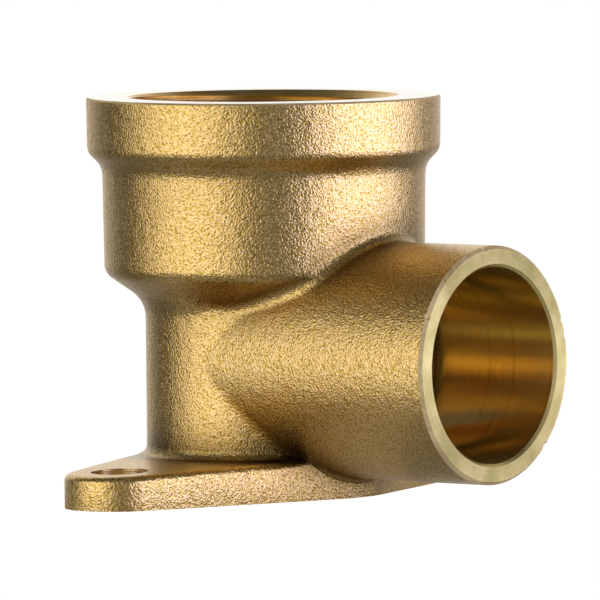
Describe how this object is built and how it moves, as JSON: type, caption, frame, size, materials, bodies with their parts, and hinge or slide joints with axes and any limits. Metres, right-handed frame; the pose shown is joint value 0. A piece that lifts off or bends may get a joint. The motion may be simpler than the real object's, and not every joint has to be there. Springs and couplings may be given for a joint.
{
  "type": "wall plate elbow",
  "caption": "Cast brass pipe elbow with a female threaded barrel, a solder socket at right angles to it and an eared plate that screws to a wall.",
  "frame": {"origin": "on the wall plane, under the axis of the threaded barrel", "axes": "+Z out of the wall along the threaded barrel, +X along the solder socket, the plate's ears along Y"},
  "size_m": [0.0362, 0.044, 0.0307],
  "materials": {
    "cast_brass": "blasted casting skin, with bores and end faces turned bright"
  },
  "bodies": {
    "root": {"wall_plate_elbow": "cast_brass"}
  },
  "joints": []
}
